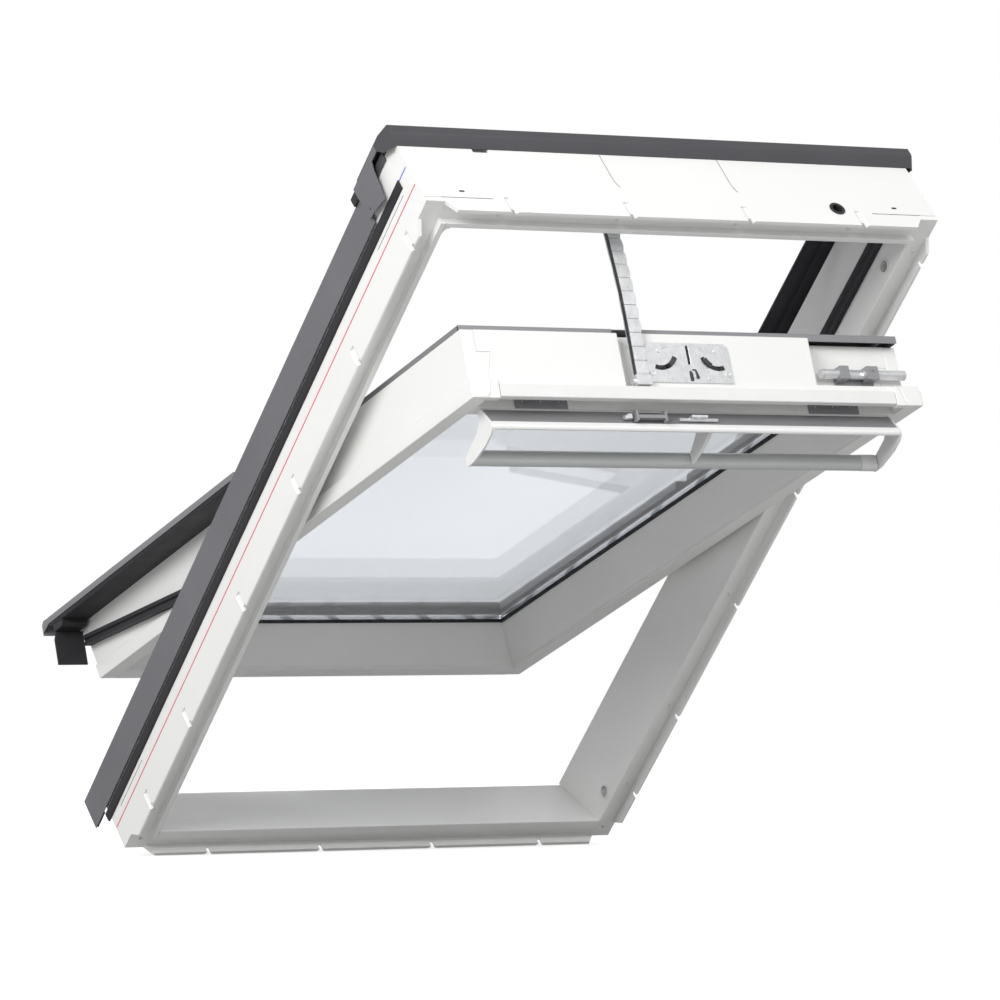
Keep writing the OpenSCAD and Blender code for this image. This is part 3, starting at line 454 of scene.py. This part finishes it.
def matt_paper(name, light, shade, dim):
    """Seamless studio paper, with a faint fibre."""
    material, tree, shader, place = new_surface(name)
    # White where it is looked at, straight on or through glass; it throws little light upwards
    path = add_node(tree, "ShaderNodeLightPath")
    seen = add_node(tree, "ShaderNodeMath",
                    links={0: path.outputs["Is Camera Ray"], 1: path.outputs["Is Transmission Ray"]},
                    operation="MAXIMUM")
    fibre = add_node(tree, "ShaderNodeTexNoise", {"Scale": 1 / (25 * MM), "Detail": 4.0},
                     {"Vector": place})
    tone = add_node(tree, "ShaderNodeMix", {6: light, 7: shade}, {0: fibre.outputs["Fac"]},
                    data_type="RGBA")
    dimmed = add_node(tree, "ShaderNodeMix", {6: dim}, {0: seen.outputs[0], 7: tone.outputs[2]},
                      data_type="RGBA")
    glow = add_node(tree, "ShaderNodeMapRange", {"To Max": 0.5}, {"Value": seen.outputs[0]})
    tree.links.new(dimmed.outputs[2], shader.inputs["Base Color"])
    tree.links.new(glow.outputs["Result"], shader.inputs["Emission Strength"])
    shader.inputs["Roughness"].default_value = 1.0
    shader.inputs["Specular IOR Level"].default_value = 0.0
    shader.inputs["Emission Color"].default_value = light
    return material


# ---- Settings that a user may change ----


def colour_property(name, description, colour):
    """A colour swatch whose default is an sRGB hex colour."""
    return bpy.props.FloatVectorProperty(name=name, description=description, subtype="COLOR", size=4,
                                         min=0.0, max=1.0, default=linear(colour))


def length_property(name, description, millimetres):
    """A length whose default is given in millimetres."""
    return bpy.props.FloatProperty(name=name, description=description, unit="LENGTH", precision=5,
                                   default=millimetres * MM)


class WindowFinish(bpy.types.PropertyGroup):
    """Colours and edge radii of the window's surfaces."""

    white: colour_property("White lacquer", "Colour of the frame and the sash", "#F3F3F1")
    white_shade: colour_property("White lacquer, darker", "Its darker clouds", "#ECECEA")
    dark_cover: colour_property("Hood", "Colour of the hood and upper covers", "#5C5C60")
    side_cover: colour_property("Side skirts", "Colour of the skirts beside the frame", "#85858A")
    sash_cover: colour_property("Sash covers", "Colour of the covers on the sash", "#9B9B9F")
    rubber: colour_property("Rubber", "Colour of seals and gaskets", "#202024")
    handle: colour_property("Handle", "Colour of the handle bar", "#DCDEDD")
    moulding_edge: length_property("Moulding edge", "Radius on moulded edges", 1.4)
    metal_edge: length_property("Metal edge", "Radius on folded and cut metal", 0.35)


class WindowChain(bpy.types.PropertyGroup):
    """Sizes of the push chain's links."""

    middle_x: length_property("Middle", "Chain's middle across the window", -84.0)
    width: length_property("Width", "Width of the chain", 22.0)
    depth: length_property("Depth", "Thickness of the chain", 9.0)
    pitch: length_property("Pitch", "Length of one link", 19.0)
    scallop: length_property("Scallop", "Depth of the waves along one edge", 2.2)


class WindowStage(bpy.types.PropertyGroup):
    """Camera and light."""

    distance: bpy.props.FloatProperty(
        name="Distance", description="From the camera to the window's middle", default=7.866,
        unit="LENGTH")
    azimuth: bpy.props.FloatProperty(
        name="Azimuth", description="Turn of the view from straight ahead", default=radians(30.83),
        subtype="ANGLE")
    rise: bpy.props.FloatProperty(
        name="Rise", description="Upward tilt of the view", default=radians(1.32), subtype="ANGLE")
    roll: bpy.props.FloatProperty(
        name="Roll", description="Turn about the line of sight", default=radians(0.3), subtype="ANGLE")
    lens: bpy.props.FloatProperty(
        name="Lens", description="Focal length", default=210.0, unit="CAMERA")
    surround: bpy.props.FloatProperty(
        name="Surround", description="Strength of the white surround", default=0.56)


# ---- Operators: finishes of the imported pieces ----


def finish_nodes(names, material, edge):
    """Gives CAD nodes a material and rounded edges."""
    for name in names:
        node = frame["nodes"][name]
        node.data.materials.clear()
        node.data.materials.append(bpy.data.materials[material])
        if edge:
            soften(node, edge)


class WINDOW_OT_materials(bpy.types.Operator):
    """Makes every material of the window and the stage."""

    bl_idname = "window.materials"
    bl_label = "Make the materials"

    def execute(self, context):
        look = context.scene.window_finish
        lacquered_polyurethane("Lacquered polyurethane", look.white, look.white_shade, 0.3)
        moulded_abs("White moulded ABS", linear("#EDEDEC"), linear("#E4E4E3"), 0.32, 1.6)
        # Black ABS for the real black parts; on the gauge slots' floors the same material is painted shade
        moulded_abs("Black ABS and painted slot shade", linear("#2B2B2E"), linear("#222225"), 0.5, 1.6)
        # Painted shade: a matt grey, greyer than the lacquered skin, laid in the head's two grooves to stand for
        # their shade
        moulded_abs("Painted groove shade", linear("#9C9C9A"), linear("#8A8A88"), 0.6, 2.0)
        coil_coated_aluminium("Dark coated aluminium", look.dark_cover, linear("#4B4B4F"), 0.42)
        coil_coated_aluminium("Grey coated aluminium", look.side_cover, linear("#6C6C70"), 0.4)
        coil_coated_aluminium("Light coated aluminium", look.sash_cover, linear("#88888B"), 0.38)
        coil_coated_aluminium("Painted steel", linear("#A2A2A5"), linear("#8E8E92"), 0.4)
        extruded_rubber("EPDM rubber", linear("#2C2C31"), look.rubber)
        zinc_plated_steel("Zinc plated steel", linear("#F2F3F4"), linear("#D9DBDD"), 0.3)
        zinc_plated_steel("Black zinc plated steel", linear("#5A5A5C"), linear("#3A3A3C"), 0.4)
        anodised_aluminium("Anodised aluminium", look.handle, linear("#BFC1C1"))
        two_tone_flap("Lacquered aluminium", linear("#8E8E90"), linear("#7D7D80"),
                      linear("#F0F0EF"), 26.5)
        float_glass("Float glass", linear("#FAFCFF"))
        bright_spacer("Bright aluminium", linear("#F4F5F6"), linear("#A5A7A9"), 75.4)
        printed_line("Red setting-out ink", linear("#E0465E"), linear("#E87C8C"))
        printed_line("Blue setting-out ink", linear("#4B48DE"), linear("#7F7CE6"))
        matt_paper("Studio paper", linear("#FBFBFB"), linear("#F6F6F6"), linear("#B6B6B6"))
        return {"FINISHED"}


class WINDOW_OT_mouldings(bpy.types.Operator):
    """Finishes the white mouldings of the frame and the sash."""

    bl_idname = "window.mouldings"
    bl_label = "Finish the mouldings"

    def execute(self, context):
        edge = context.scene.window_finish.moulding_edge / MM
        finish_nodes(("frame_head", "frame_sill", "frame_jamb_left", "frame_jamb_right",
                      "stile_left", "stile_right", "top_rail", "bottom_rail"),
                     "Lacquered polyurethane", edge)
        finish_nodes(("edge_strip", "bar_end_caps", "operator_housing", "bolt_bushes"),
                     "White moulded ABS", 0.5)
        return {"FINISHED"}


class WINDOW_OT_covers(bpy.types.Operator):
    """Finishes the folded metal covers."""

    bl_idname = "window.covers"
    bl_label = "Finish the covers"

    def execute(self, context):
        edge = context.scene.window_finish.metal_edge / MM
        finish_nodes(("hood", "upper_cover_left", "upper_cover_right"), "Dark coated aluminium", edge)
        finish_nodes(("jamb_cover_left", "jamb_cover_right", "hood_bracket_left",
                      "hood_bracket_right"), "Grey coated aluminium", edge)
        finish_nodes(("sash_top_cover", "side_cover_left", "side_cover_right", "bottom_cover"),
                     "Light coated aluminium", edge)
        return {"FINISHED"}


class WINDOW_OT_rubber(bpy.types.Operator):
    """Finishes the seals, gaskets, pads and end plugs."""

    bl_idname = "window.rubber"
    bl_label = "Finish the rubber"

    def execute(self, context):
        finish_nodes(("jamb_gaskets", "cover_strips", "upper_seals", "pane_seal", "glazing_gasket",
                      "flange_pads", "side_seals"), "EPDM rubber", 0.4)
        finish_nodes(("cover_ends", "bracket_caps", "corner_blocks", "corner_flaps"),
                     "Black ABS and painted slot shade", 0.6)
        finish_nodes(("cable_grommet",), "Black ABS and painted slot shade", 0.3)
        return {"FINISHED"}


class WINDOW_OT_fittings(bpy.types.Operator):
    """Finishes the steel fittings: pivots, lock, bolt, keeper and screws."""

    bl_idname = "window.fittings"
    bl_label = "Finish the fittings"

    def execute(self, context):
        finish_nodes(("lining_screws", "frame_pivot_left", "frame_pivot_right", "lock_keeper",
                      "chain_end", "lock_plate", "lock_rivets", "sash_pivot_left",
                      "sash_pivot_right", "barrel_bolt", "bar_link", "release_catch"),
                     "Zinc plated steel", 0.25)
        finish_nodes(("lock_claw_left", "lock_claw_right"), "Black zinc plated steel", 0.2)
        finish_nodes(("bolt_brackets", "chain_bracket", "flap_hinges"), "Painted steel", 0.3)
        return {"FINISHED"}


class WINDOW_OT_control_bar(bpy.types.Operator):
    """Finishes the control bar and ribs its handle's end."""

    bl_idname = "window.control_bar"
    bl_label = "Finish the control bar"

    def execute(self, context):
        finish_nodes(("control_flap",), "Lacquered aluminium", 0.8)
        finish_nodes(("handle_bar",), "Anodised aluminium", 0.3)
        finish_nodes(("bar_middle_arm",), "White moulded ABS", 0.4)
        half_u = 6.9
        half_w = 10.9
        corner = 5.9
        outline = []
        for sign_u, sign_w, start in ((1, 1, 0), (-1, 1, 90), (-1, -1, 180), (1, -1, 270)):
            centre = (GRIP_U + sign_u * (half_u - corner), GRIP_W + sign_w * (half_w - corner))
            outline += arc(centre, corner, start, start + 90, 6)
        first_x = 284.0
        spacing = 2.6
        rib_width = 1.4
        ribs = bmesh.new()
        for i in range(9):
            x = first_x + spacing * i
            prism(ribs, outline, lambda u, w, depth: on_sash(depth, u, w), x, x + rib_width)
        add_piece("handle_ribs", ribs, "White moulded ABS", "control_bar")
        return {"FINISHED"}


class WINDOW_OT_glazing(bpy.types.Operator):
    """Finishes the double pane and its bright spacer bar."""

    bl_idname = "window.glazing"
    bl_label = "Finish the glazing"

    def execute(self, context):
        finish_nodes(("inner_pane", "outer_pane"), "Float glass", 0.0)
        finish_nodes(("pane_spacer",), "Bright aluminium", 0.3)
        return {"FINISHED"}


# ---- Operators: pieces made here ----


def chain_line():
    """The chain's middle line as (v, n) places, from the sash's end to the operator's slot."""
    link_u = SASH_END_U + 3.5
    end = Vector(sash_to_frame(link_u, 36))
    out = Vector(sash_to_frame(link_u + 1, 90))
    far = Vector(sash_to_frame(link_u + 1, 140))
    port = Vector((PORT_V, PORT_N))
    first = far + (far - out) * 0.7
    second = port - Vector((9, 26))
    points = [end, out]
    for i in range(25):
        t = i / 24
        points.append(far * (1 - t) ** 3 + first * (3 * (1 - t) ** 2 * t)
                      + second * (3 * (1 - t) * t * t) + port * t ** 3)
    return points


def point_along(line, distance):
    """The place and direction at a distance along a line of 2D points."""
    for a, b in zip(line, line[1:]):
        length = (b - a).length
        if distance <= length:
            return a + (b - a) * (distance / length), (b - a).normalized()
        distance -= length
    return line[-1].copy(), (line[-1] - line[-2]).normalized()


class WINDOW_OT_push_chain(bpy.types.Operator):
    """Makes the push chain of scalloped links, with a lapped plate and a rivet on each pair."""

    bl_idname = "window.push_chain"
    bl_label = "Make the push chain"

    def execute(self, context):
        size = context.scene.window_chain
        middle_x = size.middle_x / MM
        width = size.width / MM
        pitch = size.pitch / MM
        scallop = size.scallop / MM
        half = size.depth / MM / 2
        left = middle_x - width / 2
        right = middle_x + width / 2
        line = chain_line()
        total = sum((b - a).length for a, b in zip(line, line[1:]))

        def place(x, along, height):
            middle, direction = point_along(line, along)
            side = Vector((direction.y, -direction.x))
            spot = middle - side * height
            return on_frame(x, spot.x, spot.y)

        links = bmesh.new()
        rail = bmesh.new()
        plates = bmesh.new()
        rivets = bmesh.new()
        count = int(total / pitch)
        steps = 10
        for k in range(count):
            rings = []
            for i in range(steps + 1):
                along = (k + 0.01 + 0.98 * i / steps) * pitch
                reach = right - scallop * (1 - sin(pi * i / steps) ** 0.6)
                section = ((left + 1.2, -half), (reach - 1, -half), (reach, -half + 1.4),
                           (reach, half - 1.4), (reach - 1, half), (left + 1.2, half))
                rings.append([links.verts.new(place(x, along, h)) for x, h in section])
            for a, b in zip(rings, rings[1:]):
                for i in range(6):
                    j = (i + 1) % 6
                    links.faces.new((a[i], a[j], b[j], b[i]))
            links.faces.new(rings[0])
            links.faces.new(rings[-1])
            prism(rail, rectangle(k * pitch, (k + 1) * pitch, -half - 0.2, 0.8),
                  lambda along, h, x: place(x, along, h), left, left + 1.3)
        for k in range(0, count - 1, 2):
            # The lapped plate covers two links and ends in a round nose
            start = (k + 0.1) * pitch
            radius = (width - scallop) / 2 - 0.8
            centre_x = left + 1.6 + radius
            nose = [(x, s) for x, s in arc((centre_x, start + radius), radius, 180, 360, 12)]
            outline = nose + [(centre_x + radius, start + 1.6 * pitch),
                              (centre_x - radius, start + 1.6 * pitch)]
            prism(plates, outline, lambda x, s, h: place(x, s, h), half, half + 0.9)
            dot = arc((centre_x - radius * 0.35, start + radius * 0.9), 1.3, 0, 330, 11)
            prism(rivets, dot, lambda x, s, h: place(x, s, h), half + 0.9, half + 1.3)
        sash_end = place(middle_x, 0, 0)
        pieces = (add_piece("chain_links", links, "Zinc plated steel", "frame", 0.3),
                  add_piece("chain_rail", rail, "Black zinc plated steel", "frame"),
                  add_piece("chain_plates", plates, "Zinc plated steel", "frame"),
                  add_piece("chain_rivets", rivets, "Black zinc plated steel", "frame"))
        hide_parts("push_chain")
        for piece in pieces:
            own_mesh(piece)
        return {"FINISHED"}


class WINDOW_OT_setting_out_lines(bpy.types.Operator):
    """Makes the inked setting-out lines on the left side member and grey strips of painted shade in two grooves of
    the head's end face.
    """

    bl_idname = "window.setting_out_lines"
    bl_label = "Make the setting-out lines"

    def execute(self, context):
        side = -FRAME_HALF_WIDTH
        half_line = 1.1
        for name, ink, middle_n, low_v, high_v in (
                ("line_red", "Red setting-out ink", 36.0, 3.0, 1173.0),
                ("line_blue", "Blue setting-out ink", 69.0, 1126.0, 1173.0)):
            line = bmesh.new()
            outline = rectangle(low_v, high_v, middle_n - half_line, middle_n + half_line)
            prism(line, outline, lambda v, n, x: on_frame(x, v, n), side - 0.12, side + 0.05)
            add_piece(name, line, ink, "frame")
        # Grey strips on the head's end face are painted shade: they stand for the shade in its two grooves
        groove_shades = bmesh.new()
        for x in (-90.0, 90.0):
            outline = ((x - 1.0, 54.0), (x + 0.6, 46.0), (x + 3.2, 40.0), (x + 4.4, 40.6),
                       (x + 1.8, 47.0), (x + 0.2, 55.0), (x + 0.2, 107.0), (x - 1.0, 107.0))
            prism(groove_shades, outline, lambda a, n, v: on_frame(a, v, n),
                  FRAME_HEIGHT - 0.05, FRAME_HEIGHT + 0.12)
        add_piece("groove_shade_lines", groove_shades, "Painted groove shade", "frame")
        return {"FINISHED"}


class WINDOW_OT_gauge_slot_shade(bpy.types.Operator):
    """Makes black strips on the floors of the fine gauge slots in the frame's outer faces: painted shade in the
    slots.
    """

    bl_idname = "window.gauge_inlays"
    bl_label = "Make the gauge slots' floors"

    def execute(self, context):
        # Black strips on the slot floors are painted shade: they darken the narrow slots as their own shade would
        slot_shade = bmesh.new()
        floor = FRAME_HALF_WIDTH - 1.5
        for low_v, high_v in ((31.0, 123.0), (FRAME_HEIGHT - 127, FRAME_HEIGHT - 34)):
            for side in (-1, 1):
                outline = rectangle(low_v + 0.1, high_v - 0.1, 47.95, 49.05)
                prism(slot_shade, outline, lambda v, n, x: on_frame(x, v, n), side * (floor - 0.2),
                      side * (floor + 1.3))
        deep = FRAME_HEIGHT - 1.7
        for side in (-1, 1):
            outline = rectangle(side * 289.1, side * 364.9, 7.45, 8.55)
            prism(slot_shade, outline, lambda x, n, v: on_frame(x, v, n), deep, FRAME_HEIGHT - 0.2)
            outline = rectangle(side * 326.2, side * 333.8, 19.2, 22.3)
            prism(slot_shade, outline, lambda x, n, v: on_frame(x, v, n), deep - 0.5, FRAME_HEIGHT - 0.4)
        add_piece("gauge_slot_shade", slot_shade, "Black ABS and painted slot shade", "frame")
        return {"FINISHED"}


class WINDOW_OT_strip_marks(bpy.types.Operator):
    """Makes the four shallow oval clip marks on the sash's edge strip."""

    bl_idname = "window.strip_marks"
    bl_label = "Make the strip's marks"

    def execute(self, context):
        marks = bmesh.new()
        middle_w = 12.5
        half_length = 6.5
        half_height = 3.2
        for x in (-202.0, -41.0, 44.0, 209.0):
            outline = [(x + half_length * cos(radians(a)), middle_w + half_height * sin(radians(a)))
                       for a in range(0, 360, 15)]
            prism(marks, outline, lambda a, w, u: on_sash(a, u, w), SASH_TOP_U, SASH_TOP_U + 0.25)
        add_piece("strip_marks", marks, "White moulded ABS", "sash")
        return {"FINISHED"}


class WINDOW_OT_lock_details(bpy.types.Operator):
    """Makes the small release levers in the lock plate's middle slots."""

    bl_idname = "window.lock_details"
    bl_label = "Make the lock's levers"

    def execute(self, context):
        front = LOCK_FACE_U
        levers = bmesh.new()
        slide = [(-9.0, 31.0), (-4.0, 31.0), (-4.4, 40.0), (-5.6, 43.5), (-8.4, 43.5), (-9.6, 40.0)]
        prism(levers, slide, lambda x, w, u: on_sash(x, u, w), front - 1.4, front + 0.7)
        hook = ([(-4.2, 46.5), (-4.2, 44.8), (-0.4, 44.6)] + arc((2.6, 35.6), 2.4, 150, 400, 10)
                + [(1.4, 46.4)])
        prism(levers, hook, lambda x, w, u: on_sash(x, u, w), front, front + 0.9)
        add_piece("lock_levers", levers, "Black zinc plated steel", "sash", 0.15)
        return {"FINISHED"}


class WINDOW_OT_stage(bpy.types.Operator):
    """Makes the floor, the lights, the white surround and the camera."""

    bl_idname = "window.stage"
    bl_label = "Make the stage"

    def execute(self, context):
        scene = context.scene
        look = scene.window_stage
        low, high = (Vector(corner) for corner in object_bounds())
        floor = bmesh.new()
        reach = 14.0
        corners = ((-reach, -reach), (reach, -reach), (reach, reach), (-reach, reach))
        floor.faces.new([floor.verts.new((x, y, low.z - 0.001)) for x, y in corners])
        mesh = bpy.data.meshes.new("floor")
        floor.to_mesh(mesh)
        floor.free()
        mesh.materials.append(bpy.data.materials["Studio paper"])
        plane = bpy.data.objects.new("floor", mesh)
        scene.collection.objects.link(plane)
        plane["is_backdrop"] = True

        world = bpy.data.worlds.new("White surround")
        scene.world = world
        world.use_nodes = True
        tree = world.node_tree
        tree.nodes.clear()
        # The surround looks pure white straight on and through glass, and lights the window less
        path = add_node(tree, "ShaderNodeLightPath")
        seen = add_node(tree, "ShaderNodeMath",
                        links={0: path.outputs["Is Camera Ray"], 1: path.outputs["Is Transmission Ray"]},
                        operation="MAXIMUM")
        strength = add_node(tree, "ShaderNodeMapRange",
                            {"To Min": look.surround, "To Max": 1.0}, {"Value": seen.outputs[0]})
        white = add_node(tree, "ShaderNodeBackground", {"Color": (1.0, 1.0, 1.0, 1.0)},
                         {"Strength": strength.outputs["Result"]})
        add_node(tree, "ShaderNodeOutputWorld", links={"Surface": white.outputs["Background"]})

        middle = (low + high) / 2
        for name, offset, size, power in (
                ("key", (-4.4, -2.6, 2.6), 2.6, 215.0),
                ("front", (0.5, -4.4, 3.0), 2.4, 60.0),
                ("back", (1.0, 4.2, 2.6), 2.6, 30.0)):
            light = bpy.data.lights.new(name, "AREA")
            light.shape = "DISK"
            light.size = size
            light.energy = power
            lamp = bpy.data.objects.new(name, light)
            scene.collection.objects.link(lamp)
            lamp.location = middle + Vector(offset)
            lamp.rotation_euler = (-Vector(offset)).to_track_quat("-Z", "Y").to_euler()

        forward = Vector((sin(look.azimuth) * cos(look.rise), cos(look.azimuth) * cos(look.rise),
                          sin(look.rise)))
        right = forward.cross(Vector((0, 0, 1))).normalized()
        up = right.cross(forward)
        tilted_right = right * cos(look.roll) - up * sin(look.roll)
        tilted_up = tilted_right.cross(forward)
        turn = Matrix((tilted_right, tilted_up, -forward)).transposed()
        sight = Vector((-0.0171, -0.4190, 0.4354))
        lens = bpy.data.cameras.new("camera")
        lens.lens = look.lens
        lens.clip_end = 60.0
        camera = bpy.data.objects.new("camera", lens)
        scene.collection.objects.link(camera)
        camera.matrix_world = Matrix.Translation(sight - forward * look.distance) @ turn.to_4x4()
        scene.camera = camera
        scene.view_settings.view_transform = "Standard"
        return {"FINISHED"}


class WINDOW_PT_steps(bpy.types.Panel):
    """Lists the steps and their settings in the sidebar."""

    bl_idname = "WINDOW_PT_steps"
    bl_label = "Roof window"
    bl_space_type = "VIEW_3D"
    bl_region_type = "UI"
    bl_category = "Roof window"

    def draw(self, context):
        for operator in OPERATORS:
            self.layout.operator(operator.bl_idname)
        for group in ("window_finish", "window_chain", "window_stage"):
            settings = getattr(context.scene, group)
            box = self.layout.box()
            for name in settings.bl_rna.properties.keys():
                if name not in ("rna_type", "name"):
                    box.prop(settings, name)


OPERATORS = (
    WINDOW_OT_materials,
    WINDOW_OT_mouldings,
    WINDOW_OT_covers,
    WINDOW_OT_rubber,
    WINDOW_OT_fittings,
    WINDOW_OT_control_bar,
    WINDOW_OT_glazing,
    WINDOW_OT_push_chain,
    WINDOW_OT_setting_out_lines,
    WINDOW_OT_gauge_slot_shade,
    WINDOW_OT_strip_marks,
    WINDOW_OT_lock_details,
    WINDOW_OT_stage,
)
GROUPS = {"window_finish": WindowFinish, "window_chain": WindowChain, "window_stage": WindowStage}


def register():
    for group in GROUPS.values():
        bpy.utils.register_class(group)
    for operator in OPERATORS:
        bpy.utils.register_class(operator)
    bpy.utils.register_class(WINDOW_PT_steps)
    for name, group in GROUPS.items():
        setattr(bpy.types.Scene, name, bpy.props.PointerProperty(type=group))


def unregister():
    for name in GROUPS:
        delattr(bpy.types.Scene, name)
    bpy.utils.unregister_class(WINDOW_PT_steps)
    for operator in reversed(OPERATORS):
        bpy.utils.unregister_class(operator)
    for group in reversed(GROUPS.values()):
        bpy.utils.unregister_class(group)


def main():
    """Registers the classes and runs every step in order."""
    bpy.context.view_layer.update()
    register()
    for operator in OPERATORS:
        group, step = operator.bl_idname.split(".")
        getattr(getattr(bpy.ops, group), step)()


if __name__ == "__main__":
    main()
